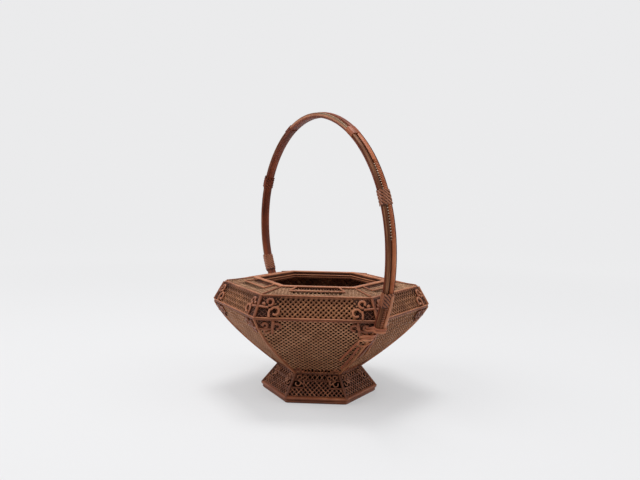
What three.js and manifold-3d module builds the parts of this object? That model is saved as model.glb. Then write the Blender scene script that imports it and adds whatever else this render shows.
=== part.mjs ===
// A six-sided flower basket of split bamboo on a flared foot, with a fixed arched handle.
// Millimetres, +Z up. The origin is on the ground, below the middle of the basket.
// The front side looks along -Y. Corners are counted from +X, anticlockwise seen from above.
import * as THREE from 'three';
import { mergeVertices } from 'three/addons/utils/BufferGeometryUtils.js';
import loadManifold from 'manifold-3d';

const wasm = await loadManifold();
wasm.setup();

// Driving dimensions
const clearance = 0.3; // gap kept between neighbouring pieces

// Rings of the body: radius at the outer corners, and rise from the ring below
const baseRadius = 81.7; // upper base rail
const neckRadius = 58.6;
const waistRadius = 150;
const shoulderRadius = 134.9;
const mouthRadius = 94.4;
const footRise = 26.8;
const bodyRise = 86.6;
const bandRise = 26.1;
const deckRise = 5;
const bodySwell = 6.2; // how far the lower body bows out of a straight line
const swellPlace = 0.7; // where its curve is pulled outwards, as a share of the way up
const swellSteps = 8;

// Laths that make the rings
const railSize = 3.7;
const railChamfer = 1.1;
const baseRailWidth = 8;
const baseRailHeight = 4.2;
const baseRailStep = 2; // how far the lower base rail stands in from the upper one
const mouthRailWidth = 7.5;
const mouthRailHeight = 4.4;
const mouthRailLift = 0.7; // how far the rail's middle stands above the deck's line
const collarRails = 2;
const collarRailHeight = 3;
const collarThickness = 3.5;
const collarStep = 1.9; // how far the collar stands inside the mouth rail
const collarGroove = 0.9;

// Woven sheets
const panelThickness = 2.2;
const deckThickness = 1.6;
const footThickness = 2.2;
const floorThickness = 2.5;

// Corner laths, by width and by reach inwards and outwards of the corner line
const ribWidth = 2.6;
const ribInner = 1;
const ribOuter = 2.2;
const postOuter = 3;
const footRibWidth = 3;
const footRibInner = 1.2;
const footRibOuter = 1.5;
const footRibInset = 2.9; // from the base rail's outer corner
const mitreWidth = 2.2;
const mitreHeight = 1.3;

// Scroll brackets beside the corners
const scrollStrip = 2.2;
const scrollDepth = 2.2;
const curlSegments = 4; // for each half turn of a curl
const scrollMargin = 2.5; // from a rail to the nearest curl
const scrollUpperReach = 10; // from the corner to the middle of the upper curl
const scrollLowerReach = 20.5; // from the corner to the middle of the lower curl
const upperCurl = [-0.55, 1.15]; // where the upper curl starts and ends, in half turns
const lowerCurl = [0.85, 2.55];

// Raised frames on the deck
const frameWidth = 2.4;
const frameHeight = 1.5;
const frameMargin = 22; // from a corner line to the frame's end
const frameSplay = 6; // how far each leg of a frame leans in by the mouth
const framePlace = 0.5; // share of the deck's width, from the shoulder to the frame's bar

// Handle: the arch is close to half an ellipse, on two legs that draw in to the waist
const handleCorner = 5; // corner at the front leg, the back leg is opposite
const handleLean = 3; // degrees, sideways
const archFrontSpan = 179; // from the basket's middle to the widest place of the front leg
const archBackSpan = 190;
const archTopPlace = -1.6; // from the basket's middle to the arch's top, towards the front leg
const archCrown = 0.53; // how square the arch's top is, 0.55 for half an ellipse
const archRise = 163.5;
const legRise = 92.5; // from the waist to the widest place
const footLean = 24; // degrees from upright, where a leg meets the waist
const legFootPull = 22; // how long a leg keeps its direction at the waist
const legTopPull = 54; // and below the widest place
const handleWidth = 12;
const lathThickness = 2.6;
const lathTail = 9; // below the waist
const rodRadius = 2.2;
const rodSides = 8;
const inlayHeight = 3;
const archSteps = 64;

// Smooth collars near the top of the handle
const collarWall = 0.9;
const collarLength = 16;
const frontCollarPlace = 113; // along the arch, from its top
const backCollarPlace = 72;
const collarSteps = 4;

// Cane strip wound round the handle in two places on each leg
const caneWidth = 3;
const caneThickness = 0.9;
const caneGap = 0.6; // between two turns
const caneOuterBend = 2; // corner radius over the rods
const caneInnerBend = 0.5; // corner radius round the lath
const bindingTurns = 5;
const frontBindingPlace = 217; // along the arch, from its top
const backBindingPlace = 192.5;
const frontFootTurns = 3;
const frontFootPlace = 34; // along the leg, from the waist
const backFootTurns = 7;
const backFootPlace = 47;

// Knots under the scrolls, with three loose ends each
const knotLength = 10;
const knotWidth = 10;
const knotHeight = 3.5;
const knotSideReach = 12;
const knotSideHeight = 3;
const tailWidth = 4.5;
const tailThickness = 1.4;
const tailLength = 60;
const sideTailLength = 50;
const sideTailReach = 10;
const sideTailSplay = 3; // degrees away from the corner lath

// Values worked out from the driving dimensions
const sixth = Math.PI / 3;
const faceShare = Math.cos(sixth / 2); // a side's middle distance over its corner distance
const railReach = Math.hypot(railSize / 2, railSize / 2 - railChamfer);
const ribReach = Math.hypot(ribWidth / 2, ribInner);
const endInset = railReach + clearance;
const ribEndInset = railReach + ribWidth / 2 + clearance;

const baseTop = 2 * baseRailHeight + clearance;
const neckHeight = baseTop + footRise;
const waistHeight = neckHeight + bodyRise;
const shoulderHeight = waistHeight + bandRise;
const mouthHeight = shoulderHeight + deckRise;

// Scroll brackets: two curls and their bar fill the height between the band's rails
const bandLength = Math.hypot(faceShare * (waistRadius - shoulderRadius), bandRise);
const scrollInset = railReach + scrollMargin;
const scrollRadius = (bandLength - 2 * scrollInset + scrollStrip) / 4;
const lowerBarDrop = scrollInset + 2 * scrollRadius - scrollStrip / 2; // from the waist, down the side

const footTop = { r: baseRadius - footRibInset, z: baseTop };
const neck = { r: neckRadius - railSize / 2, z: neckHeight };
const waist = { r: waistRadius - railSize / 2, z: waistHeight };
const shoulder = { r: shoulderRadius - railSize / 2, z: shoulderHeight };
const mouth = { r: mouthRadius, z: mouthHeight };
const footLine = profile(footTop, neck);
const bodyLine = profile(neck, waist, bodySwell);
const bandLine = profile(waist, shoulder);
const deckLine = profile(shoulder, mouth);

// Finishes: colour and roughness
const redLath = [0x8a5238, 0.5];
const darkLath = [0x55301f, 0.55];
const bodyWeave = [0x6e4934, 0.65];
const deckStraw = [0x957058, 0.6];
const handleBrown = [0x6b2f1a, 0.4];
const handleAmber = [0x9a5a35, 0.4];
const inlayGrey = [0x4a3a30, 0.6];
const bindingCane = [0xa8795c, 0.5];

const basket = new THREE.Group();

function piece(name, geometry, [color, roughness], parent = basket) {
  const material = new THREE.MeshStandardMaterial({ color, roughness, metalness: 0 });
  const mesh = new THREE.Mesh(geometry, material);
  mesh.name = name;
  parent.add(mesh);
  return mesh;
}

// Six copies, one for each corner or side
function sixfold(name, geometry, finish) {
  for (let i = 0; i < 6; i++) {
    piece(`${name}_${i + 1}`, geometry, finish).rotation.z = i * sixth;
  }
}

function solidOf(geometry) {
  const bare = geometry.clone();
  bare.deleteAttribute('normal');
  bare.deleteAttribute('uv');
  const welded = mergeVertices(bare);
  const vertProperties = new Float32Array(welded.attributes.position.array);
  const triVerts = new Uint32Array(welded.index.array);
  return new wasm.Manifold(new wasm.Mesh({ numProp: 3, vertProperties, triVerts }));
}

// Joins overlapping closed shapes into one solid
function join(geometries) {
  const joined = geometries.map(solidOf).reduce((whole, next) => whole.add(next));
  const { vertProperties, triVerts } = joined.getMesh();
  const geometry = new THREE.BufferGeometry();
  geometry.setAttribute('position', new THREE.BufferAttribute(vertProperties, 3));
  geometry.setIndex(new THREE.BufferAttribute(triVerts, 1));
  geometry.computeVertexNormals();
  return geometry;
}

// A six-sided ring: its closed outline has (corner radius, height) points, anticlockwise
function hexRing(outline) {
  const points = outline.map(([r, z]) => new THREE.Vector2(r, z));
  points.push(points[0].clone());
  return new THREE.LatheGeometry(points, 6, Math.PI / 2).rotateX(Math.PI / 2);
}

function lathProfile(centre, width, height, chamfer) {
  const x = width / 2;
  const y = height / 2;
  const outer = [[x - chamfer, -y], [x, chamfer - y], [x, y - chamfer], [x - chamfer, y]];
  const inner = [[chamfer - x, y], [-x, y - chamfer], [-x, chamfer - y], [chamfer - x, -y]];
  return [...outer, ...inner].map(([u, v]) => [centre.r + u, centre.z + v]);
}

// The line from one ring up to the next, as (corner radius, height)
function profile(low, high, swell = 0) {
  const from = new THREE.Vector2(low.r, low.z);
  const to = new THREE.Vector2(high.r, high.z);
  if (swell === 0) {
    return new THREE.LineCurve(from, to);
  }
  const out = new THREE.Vector2(to.y - from.y, from.x - to.x).normalize();
  const pull = from.clone().lerp(to, swellPlace).addScaledVector(out, 2 * swell);
  return new THREE.QuadraticBezierCurve(from, pull, to);
}

// A working surface on such a line: x runs along the side, y up the slope, z outwards
function slope(line, share, turn) {
  const points = line.getPoints(swellSteps).map((point) => new THREE.Vector2(share * point.x, point.y));
  const length = points.slice(1).reduce((sum, point, i) => sum + point.distanceTo(points[i]), 0);
  const spin = new THREE.Matrix4().makeRotationZ(turn);
  const halfAt = (y) => line.getPointAt(y / length).x / 2; // half a side's length
  const riseAt = (y) => {
    const ahead = line.getTangentAt(y / length);
    return new THREE.Vector2(share * ahead.x, ahead.y).normalize();
  };
  const spreadAt = (y) => riseAt(y).x / share / 2; // how fast half a side grows on the way up
  const place = (x, y, z) => {
    const point = line.getPointAt(y / length);
    const rise = riseAt(y);
    return new THREE.Vector3(share * point.x + z * rise.y, x, point.y - z * rise.x).applyMatrix4(spin);
  };
  return { length, halfAt, riseAt, spreadAt, place };
}

// The side before (-1) or after (1) a corner on the X axis, and the line up that corner
const sideOf = (line, side) => slope(line, faceShare, side * sixth / 2);
const cornerOf = (line) => slope(line, 1, 0);

// Carries a shape from flat coordinates onto a working surface
function bend(geometry, surface) {
  const spots = geometry.attributes.position;
  for (let i = 0; i < spots.count; i++) {
    const { x, y, z } = surface.place(spots.getX(i), spots.getY(i), spots.getZ(i));
    spots.setXYZ(i, x, y, z);
  }
  geometry.computeVertexNormals();
  return geometry;
}

function flat(points, low, high) {
  const shape = new THREE.Shape(points.map(([x, y]) => new THREE.Vector2(x, y)));
  const options = { depth: high - low, bevelEnabled: false };
  return new THREE.ExtrudeGeometry(shape, options).translate(0, 0, low);
}

function block(x0, x1, y0, y1, z0, z1, steps = 1) {
  const box = new THREE.BoxGeometry(x1 - x0, y1 - y0, z1 - z0, 1, steps, 1);
  return box.translate((x0 + x1) / 2, (y0 + y1) / 2, (z0 + z1) / 2);
}

// A woven sheet that fills one side between its rails and corner laths
function panel(side) {
  const half = panelThickness / 2;
  const sheet = block(-1, 1, endInset, side.length - endInset, -half, half, swellSteps);
  const spots = sheet.attributes.position;
  for (let i = 0; i < spots.count; i++) {
    const y = spots.getY(i);
    const inset = (ribReach + clearance) * Math.hypot(1, side.spreadAt(y));
    spots.setX(i, spots.getX(i) * (side.halfAt(y) - inset));
  }
  return bend(sheet, side);
}

// Two curls on a bar that comes out of the corner lath, flat against one side
function scroll(plane, side, barHeight) {
  const corner = plane.halfAt(barHeight);
  const place = (reach) => -side * (corner - reach);
  const low = panelThickness / 2 + clearance;
  const high = low + scrollDepth;
  const half = scrollStrip / 2;
  const lift = scrollRadius - half;
  const curl = (reach, height, [from, to]) => {
    const start = Math.PI * (side > 0 ? from : 1 - to);
    const end = Math.PI * (side > 0 ? to : 1 - from);
    const shape = new THREE.Shape();
    shape.absarc(place(reach), height, scrollRadius, start, end, false);
    shape.absarc(place(reach), height, scrollRadius - scrollStrip, end, start, true);
    const options = { depth: scrollDepth, bevelEnabled: false, curveSegments: curlSegments };
    return new THREE.ExtrudeGeometry(shape, options).translate(0, 0, low);
  };
  const ends = [place(0), place(scrollLowerReach)];
  const bar = block(Math.min(...ends), Math.max(...ends), barHeight - half, barHeight + half, low, high);
  const upper = curl(scrollUpperReach, barHeight + lift, upperCurl);
  const lower = curl(scrollLowerReach, barHeight - lift, lowerCurl);
  return [bar, upper, lower].map((part) => bend(part, plane));
}

// A corner lath with a scroll bracket on each of its two sides
function scrolledLath(line, outer, barDrop) {
  const corner = cornerOf(line);
  const half = ribWidth / 2;
  const lath = block(-half, half, ribEndInset, corner.length - ribEndInset, -ribInner, outer, swellSteps);
  const parts = [bend(lath, corner)];
  for (const side of [-1, 1]) {
    const plane = sideOf(line, side);
    parts.push(...scroll(plane, side, plane.length - barDrop));
  }
  return join(parts);
}

// A six-sided sheet along a corner line, set off from it
function shell(corner, thickness, offset, from, to) {
  const at = (along, out) => {
    const { x, z } = corner.place(0, along, out);
    return [x, z];
  };
  const inner = offset - thickness / 2;
  const outer = offset + thickness / 2;
  return hexRing([at(from, inner), at(from, outer), at(to, outer), at(to, inner)]);
}

function rail(ring) {
  return hexRing(lathProfile(ring, railSize, railSize, railChamfer));
}

// Foot: two stacked base rails, six ribs lashed to the upper one, and the woven flare inside them
function addFoot() {
  const railMiddle = baseRadius - baseRailWidth / 2;
  const lowerRail = { r: railMiddle - baseRailStep, z: baseRailHeight / 2 };
  const upperRail = { r: railMiddle, z: baseTop - baseRailHeight / 2 };
  const baseRail = (ring) => hexRing(lathProfile(ring, baseRailWidth, baseRailHeight, railChamfer));
  piece('base_rail_lower', baseRail(lowerRail), darkLath);

  const corner = cornerOf(footLine);
  const rise = corner.riseAt(0);
  const half = footRibWidth / 2;
  const ribFrom = -baseRailHeight / 2 / rise.y;
  const ribTo = corner.length - railReach - half - clearance;
  const parts = [baseRail(upperRail)];
  for (let i = 0; i < 6; i++) {
    const rib = block(-half, half, ribFrom, ribTo, -footRibInner, footRibOuter);
    parts.push(bend(rib, corner).rotateZ(i * sixth));
  }
  piece('foot_frame', join(parts), darkLath);

  const offset = -footRibInner - clearance - footThickness / 2;
  const from = (clearance - (footThickness / 2 - offset) * rise.x) / rise.y;
  const to = corner.length - endInset;
  piece('foot_weave', shell(corner, footThickness, offset, from, to), darkLath);
}

// Body: neck, waist and shoulder rails, floor, woven sides and corner laths
function addBody() {
  piece('neck_rail', rail(neck), redLath);
  piece('waist_rail', rail(waist), redLath);
  piece('shoulder_rail', rail(shoulder), redLath);

  const floorRadius = neck.r - endInset;
  const floor = new THREE.CylinderGeometry(
    floorRadius, floorRadius, floorThickness, 6, 1, false, Math.PI / 2);
  piece('floor_panel', floor.rotateX(Math.PI / 2), bodyWeave).position.z = neckHeight;

  sixfold('lower_panel', panel(sideOf(bodyLine, 1)), bodyWeave);
  sixfold('band_panel', panel(sideOf(bandLine, 1)), bodyWeave);

  sixfold('lower_rib', scrolledLath(bodyLine, ribOuter, lowerBarDrop), redLath);
  sixfold('band_post', scrolledLath(bandLine, postOuter, bandLength / 2), redLath);
}

// Deck: woven sheet, mitre laths, raised frames, mouth rail and the collar inside the mouth
function addDeck() {
  const corner = cornerOf(deckLine);
  const mouthInset = clearance + deckThickness / 2 * Math.abs(corner.riseAt(0).y);
  const deckTo = corner.length - mouthInset;
  piece('deck_weave', shell(corner, deckThickness, 0, endInset, deckTo), deckStraw);

  const seat = deckThickness / 2 + clearance;
  const half = mitreWidth / 2;
  const mitreFrom = railReach + half + clearance;
  const mitre = block(-half, half, mitreFrom, corner.length - clearance, seat, seat + mitreHeight);
  sixfold('deck_mitre', bend(mitre, corner), redLath);

  const plane = sideOf(deckLine, 1);
  const bar = plane.length * framePlace;
  const outer = plane.halfAt(bar) - frameMargin;
  const low = bar - frameWidth / 2;
  const high = bar + frameWidth / 2;
  const end = plane.length - clearance;
  const legAt = (y) => outer - frameSplay * (y - low) / (end - low);
  const inside = [[legAt(end) - frameWidth, end], [legAt(high) - frameWidth, high]];
  const right = [[outer, low], [legAt(end), end], ...inside];
  const left = right.map(([x, y]) => [-x, y]).reverse();
  const frame = flat([...right, ...left], seat, seat + frameHeight);
  sixfold('deck_frame', bend(frame, plane), redLath);

  const mouthLath = { r: mouthRadius - mouthRailWidth / 2, z: mouthHeight + mouthRailLift };
  const mouthProfile = lathProfile(mouthLath, mouthRailWidth, mouthRailHeight, railChamfer);
  piece('mouth_rail', hexRing(mouthProfile), redLath);

  const top = mouthLath.z - mouthRailHeight / 2 - clearance;
  const bottom = top - collarRails * collarRailHeight;
  const collarInner = mouthRadius - mouthRailWidth - collarStep;
  const groove = collarInner + collarGroove;
  const collar = [[collarInner + collarThickness, bottom], [collarInner + collarThickness, top]];
  for (let i = 0; i < collarRails; i++) {
    const from = top - i * collarRailHeight;
    const to = from - collarRailHeight;
    collar.push([groove, from], [collarInner, from - collarGroove], [collarInner, to + collarGroove]);
  }
  collar.push([groove, bottom]);
  piece('mouth_collar', hexRing(collar), redLath);
}

// Part of a longer curve, between two shares of its length
class Stretch extends THREE.Curve {
  constructor(path, from, to) {
    super();
    this.path = path;
    this.from = from;
    this.to = to;
  }

  getPoint(t, target = new THREE.Vector3()) {
    return target.copy(this.path.getPointAt(this.from + t * (this.to - this.from)));
  }
}

// The face between the handle's lath and its rods, from the front foot over the top to the back foot
function archPath() {
  const lean = THREE.MathUtils.degToRad(footLean);
  const rise = [Math.sin(lean), Math.cos(lean)];
  const seat = railReach + clearance + lathThickness;
  const foot = [waist.r + seat * rise[1], -seat * rise[0]];
  const tail = [foot[0] - lathTail * rise[0], foot[1] - lathTail * rise[1]];
  const footPull = [foot[0] + legFootPull * rise[0], foot[1] + legFootPull * rise[1]];
  const roundness = 4 / 3 * (Math.SQRT2 - 1); // quarter ellipse as one cubic curve
  const top = [archTopPlace, legRise + archRise];
  const topPull = archCrown * (archFrontSpan + archBackSpan) / 2;
  const leg = (side, span) => {
    const outward = (points) => points.map(([r, z]) => [side * r, z]);
    const wide = [span, legRise];
    const bow = [[side * top[0] + topPull, top[1]], [side * top[0], top[1]]];
    return [
      outward([tail, foot]),
      outward([foot, footPull, [span, legRise - legTopPull], wide]),
      outward([wide, [span, legRise + roundness * archRise], ...bow]),
    ];
  };
  const back = leg(-1, archBackSpan).map((points) => points.reverse()).reverse();
  const path = new THREE.CurvePath();
  for (const points of [...leg(1, archFrontSpan), ...back]) {
    const corners = points.map(([r, z]) => new THREE.Vector3(r, 0, z));
    const Curve = corners.length === 2 ? THREE.LineCurve3 : THREE.CubicBezierCurve3;
    path.add(new Curve(...corners));
  }
  return path;
}

function rectangle(x0, x1, y0, y1, Outline = THREE.Shape) {
  const corners = [[x0, y0], [x1, y0], [x1, y1], [x0, y1]];
  return new Outline(corners.map(([x, y]) => new THREE.Vector2(x, y)));
}

function roundSection(x, y, radius) {
  const points = [];
  for (let i = 0; i < rodSides; i++) {
    const angle = (i + 0.5) * 2 * Math.PI / rodSides;
    points.push(new THREE.Vector2(x + radius * Math.cos(angle), y + radius * Math.sin(angle)));
  }
  return new THREE.Shape(points);
}

function sweep(path, section, steps) {
  return new THREE.ExtrudeGeometry(section, { extrudePath: path, steps, bevelEnabled: false });
}

// One turn of cane round the handle's section: three points at each corner, with outward directions
function caneTurn(hole) {
  const corners = [
    [hole.half, hole.high, caneOuterBend], [-hole.half, hole.high, caneOuterBend],
    [-hole.half, hole.low, caneInnerBend], [hole.half, hole.low, caneInnerBend],
  ];
  return corners.flatMap(([x, y, radius], quarter) => [0, 1, 2].map((step) => {
    const angle = (quarter + step / 2) * Math.PI / 2;
    const out = [Math.cos(angle), Math.sin(angle)];
    const middle = [x - Math.sign(x) * radius, y - Math.sign(y) * radius];
    return { out, at: [middle[0] + radius * out[0], middle[1] + radius * out[1]] };
  }));
}

// A flat cane strip wound along the handle, as one unbroken strip of four-cornered rings
function winding(path, hole, centre, turns) {
  const whole = path.getLength();
  const turn = caneTurn(hole);
  const pitch = caneWidth + caneGap;
  const count = turns * turn.length;
  const rings = [];
  for (let i = 0; i <= count; i++) {
    const { at, out } = turn[i % turn.length];
    const place = centre * whole + pitch * (i / turn.length - turns / 2);
    const corner = (shift, lift) => {
      const share = (place + shift) / whole;
      const tangent = path.getTangentAt(share);
      const y = at[1] + lift * out[1];
      const x = at[0] + lift * out[0];
      return path.getPointAt(share).add(new THREE.Vector3(tangent.z * y, -x, -tangent.x * y));
    };
    const half = caneWidth / 2;
    const under = [corner(-half, 0), corner(half, 0)];
    const over = [corner(half, caneThickness), corner(-half, caneThickness)];
    rings.push([...under, ...over]);
  }
  const triangles = [0, 2, 1, 0, 3, 2];
  for (let i = 0; i < count; i++) {
    for (let k = 0; k < 4; k++) {
      const a = 4 * i + k;
      const b = 4 * i + (k + 1) % 4;
      triangles.push(a, b, b + 4, a, b + 4, a + 4);
    }
  }
  const last = 4 * count;
  triangles.push(last, last + 1, last + 2, last, last + 2, last + 3);
  const geometry = new THREE.BufferGeometry().setFromPoints(rings.flat());
  geometry.setIndex(triangles);
  geometry.computeVertexNormals();
  return { geometry, gap: leastGap(rings, turn.length) };
}

// The smallest distance between points on different turns
function leastGap(rings, perTurn) {
  let least = Infinity;
  for (let i = 0; i < rings.length; i++) {
    for (let j = i + Math.ceil(perTurn * 3 / 4); j < rings.length; j++) {
      for (const a of rings[i]) {
        for (const b of rings[j]) {
          least = Math.min(least, a.distanceTo(b));
        }
      }
    }
  }
  return least;
}

// Handle: a wide inner lath, two rods on its outer face, an inlay between them, and wound bands.
// Across the section, x is sideways and y points out of the arch, from the lath's outer face.
function addHandle() {
  const turned = new THREE.Group();
  turned.rotation.z = handleCorner * sixth;
  turned.position.z = waistHeight;
  basket.add(turned);
  const leaning = new THREE.Group();
  leaning.rotation.x = THREE.MathUtils.degToRad(handleLean);
  turned.add(leaning);

  const path = archPath();
  const whole = path.getLength();
  const half = handleWidth / 2;
  const rodPlace = half - rodRadius;
  const rodTop = clearance + 2 * rodRadius;
  const trimmed = new Stretch(path, lathTail / whole, 1 - lathTail / whole);
  const lath = rectangle(-half, half, -lathThickness, 0);
  const inlayHalf = rodPlace - rodRadius - clearance;
  const inlay = rectangle(-inlayHalf, inlayHalf, clearance, clearance + inlayHeight);
  const rod = (side) => roundSection(side * rodPlace, clearance + rodRadius, rodRadius);
  piece('handle_lath', sweep(path, lath, archSteps), handleBrown, leaning);
  piece('handle_rod_left', sweep(trimmed, rod(1), archSteps), handleAmber, leaning);
  piece('handle_rod_right', sweep(trimmed, rod(-1), archSteps), handleAmber, leaning);
  piece('handle_inlay', sweep(trimmed, inlay, archSteps), inlayGrey, leaning);

  const hole = { half: half + clearance, low: -lathThickness - clearance, high: rodTop + clearance };
  const sleeve = rectangle(
    -hole.half - collarWall, hole.half + collarWall, hole.low - collarWall, hole.high + collarWall);
  sleeve.holes.push(rectangle(-hole.half, hole.half, hole.low, hole.high, THREE.Path));
  const legs = [
    {
      end: 'front', side: -1, collar: frontCollarPlace, middle: frontBindingPlace,
      turns: frontFootTurns, low: frontFootPlace,
    },
    {
      end: 'back', side: 1, collar: backCollarPlace, middle: backBindingPlace,
      turns: backFootTurns, low: backFootPlace,
    },
  ];
  const gaps = [];
  for (const { end, side, collar, middle, turns, low } of legs) {
    const share = (place) => 0.5 + side * place / whole;
    const reach = collarLength / 2 / whole;
    const stretch = new Stretch(path, share(collar) - reach, share(collar) + reach);
    piece(`handle_collar_${end}`, sweep(stretch, sleeve, collarSteps), redLath, leaning);
    const binding = winding(path, hole, share(middle), bindingTurns);
    const footBinding = winding(path, hole, share(whole / 2 - lathTail - low), turns);
    piece(`handle_binding_${end}`, binding.geometry, bindingCane, leaning);
    piece(`foot_binding_${end}`, footBinding.geometry, bindingCane, leaning);
    gaps.push(binding.gap, footBinding.gap);
  }
  console.log(`least gap between turns of cane: ${Math.min(...gaps).toFixed(2)} mm`);
}

// The strip that ties a handle leg down: a saddle over the corner lath and three loose ends
function knot() {
  const corner = cornerOf(bodyLine);
  const { length, spreadAt } = sideOf(bodyLine, 1);
  const barHeight = length - lowerBarDrop;
  const lean = Math.atan(spreadAt(barHeight));
  const knotReach = knotLength / 2 * Math.cos(lean) + knotSideReach * Math.sin(lean);
  const height = barHeight - scrollStrip / 2 - clearance - knotReach;
  const middle = height * corner.length / length;
  const seat = ribOuter + clearance;
  const crown = block(
    -knotWidth / 2, knotWidth / 2, middle - knotLength / 2, middle + knotLength / 2,
    seat, seat + knotHeight);
  const tail = block(
    -tailWidth / 2, tailWidth / 2, middle - tailLength, middle, seat, seat + tailThickness, swellSteps);
  const parts = [crown, tail].map((part) => bend(part, corner));
  for (const side of [-1, 1]) {
    const plane = sideOf(bodyLine, side);
    const edge = plane.halfAt(height);
    const low = panelThickness / 2 + clearance;
    const reach = [side * (ribReach + clearance), side * knotSideReach];
    const flank = block(
      Math.min(...reach), Math.max(...reach), -knotLength / 2, knotLength / 2,
      low, low + knotSideHeight);
    flank.rotateZ(side * lean).translate(-side * edge, height, 0);
    const splay = lean + THREE.MathUtils.degToRad(sideTailSplay);
    const strip = block(
      -tailWidth / 2, tailWidth / 2, -sideTailLength, 0, low, low + tailThickness, swellSteps);
    strip.rotateZ(side * splay).translate(-side * (edge - sideTailReach), height, 0);
    parts.push(bend(flank, plane), bend(strip, plane));
  }
  return join(parts);
}

function addKnots() {
  const geometry = knot();
  piece('corner_knot_front', geometry, bindingCane).rotation.z = handleCorner * sixth;
  piece('corner_knot_back', geometry, bindingCane).rotation.z = handleCorner * sixth + Math.PI;
}

addFoot();
addBody();
addDeck();
addHandle();
addKnots();

export default basket;
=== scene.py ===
import bisect
import math
import random

import bmesh
import bpy
from mathutils import Matrix, Vector
from mathutils.geometry import interpolate_bezier


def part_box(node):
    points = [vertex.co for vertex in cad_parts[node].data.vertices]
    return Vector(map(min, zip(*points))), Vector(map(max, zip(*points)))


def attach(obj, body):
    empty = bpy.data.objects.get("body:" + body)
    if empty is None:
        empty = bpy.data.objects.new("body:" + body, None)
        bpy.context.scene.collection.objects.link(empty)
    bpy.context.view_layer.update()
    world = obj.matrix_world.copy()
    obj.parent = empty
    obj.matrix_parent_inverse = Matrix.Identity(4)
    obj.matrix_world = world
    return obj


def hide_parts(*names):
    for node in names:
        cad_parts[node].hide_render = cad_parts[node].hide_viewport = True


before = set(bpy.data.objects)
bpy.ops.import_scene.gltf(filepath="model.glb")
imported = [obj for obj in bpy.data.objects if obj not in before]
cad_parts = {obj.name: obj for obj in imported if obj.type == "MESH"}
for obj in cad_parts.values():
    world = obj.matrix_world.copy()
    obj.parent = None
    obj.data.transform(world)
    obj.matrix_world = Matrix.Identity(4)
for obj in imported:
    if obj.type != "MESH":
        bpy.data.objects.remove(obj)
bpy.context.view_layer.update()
print("frame loaded,", len(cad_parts), "nodes")

# Shapes are modelled in millimetres and made metres when a piece is finished
mm = 0.001
sixth = math.pi / 3
faceShare = math.cos(sixth / 2)  # a side's middle distance over its corner distance
chance = random.Random(11)
mapShift = 500  # fibre maps start at random places up to this far along
ringShift = 97  # and move on by this much per radian round a ring
sharpAngle = math.radians(50)  # edges bent further than this stay sharp
frontCorner = 5  # the corner that carries the handle's front leg
backCorner = 2


# Colours are written as they look on screen, 0 to 255
def paint(red, green, blue):
    def linear(value):
        share = value / 255
        return share / 12.92 if share <= 0.04045 else ((share + 0.055) / 1.055) ** 2.4
    return linear(red), linear(green), linear(blue), 1.0


# Sets a node's inputs to values, or joins them to other nodes' outputs
def feed(tree, node, inputs):
    for name, value in inputs.items():
        if isinstance(value, bpy.types.NodeSocket):
            tree.links.new(value, node.inputs[name])
        else:
            node.inputs[name].default_value = value


def addNode(tree, kind, inputs=None, **settings):
    node = tree.nodes.new("ShaderNode" + kind)
    for name, value in settings.items():
        setattr(node, name, value)
    feed(tree, node, inputs or {})
    return node


def mathNode(tree, operation, *values):
    return addNode(tree, "Math", dict(enumerate(values)), operation=operation).outputs[0]


def mapRange(tree, value, given, wanted):
    limits = {"From Min": given[0], "From Max": given[1], "To Min": wanted[0], "To Max": wanted[1]}
    return addNode(tree, "MapRange", {"Value": value, **limits}).outputs["Result"]


def mixColours(tree, share, first, second):
    inputs = {"Factor": share, "A": first, "B": second}
    return addNode(tree, "Mix", inputs, data_type="RGBA").outputs["Result"]


# Fibres run along the strip, and each strip has a tone of its own
def makeGrainGroup():
    group = bpy.data.node_groups.new("caneGrain", "ShaderNodeTree")
    sockets = {
        "INPUT": {"Color": ("Base", "Dark", "Light"), "Float": ("Streak", "Variation", "Fineness")},
        "OUTPUT": {"Color": ("Color",), "Float": ("Roughness", "Height")}}
    for way, kinds in sockets.items():
        for kind, names in kinds.items():
            for name in names:
                group.interface.new_socket(name, in_out=way, socket_type="NodeSocket" + kind)
    given = group.nodes.new("NodeGroupInput").outputs

    lay = addNode(group, "UVMap", uv_map="lay").outputs["UV"]
    stretch = addNode(group, "Mapping", {"Vector": lay, "Scale": (0.05, 2.2, 1)}).outputs["Vector"]
    fibre = addNode(group, "TexNoise", {
        "Vector": stretch, "Scale": given["Fineness"], "Detail": 4, "Roughness": 0.65}).outputs["Fac"]
    place = addNode(group, "TexCoord").outputs["Object"]
    cloud = addNode(group, "TexNoise", {"Vector": place, "Scale": 38, "Detail": 3}).outputs["Fac"]
    tint = addNode(group, "Attribute", attribute_name="tint").outputs["Fac"]

    streaks = mathNode(group, "MULTIPLY", mapRange(group, fibre, (0.3, 0.7), (-1, 1)), given["Streak"])
    strips = mathNode(group, "MULTIPLY_ADD", tint, given["Variation"], streaks)
    tone = mathNode(group, "ADD", strips, mapRange(group, cloud, (0.3, 0.7), (-0.25, 0.25)))
    lighter = mixColours(group, tone, given["Base"], given["Light"])
    darker = mixColours(group, mathNode(group, "MULTIPLY", tone, -1), lighter, given["Dark"])
    dullness = mapRange(group, tone, (-1, 1), (0.62, 0.36))
    results = {"Color": darker, "Roughness": dullness, "Height": fibre}
    feed(group, group.nodes.new("NodeGroupOutput"), results)
    return group


grainGroup = makeGrainGroup()


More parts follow.
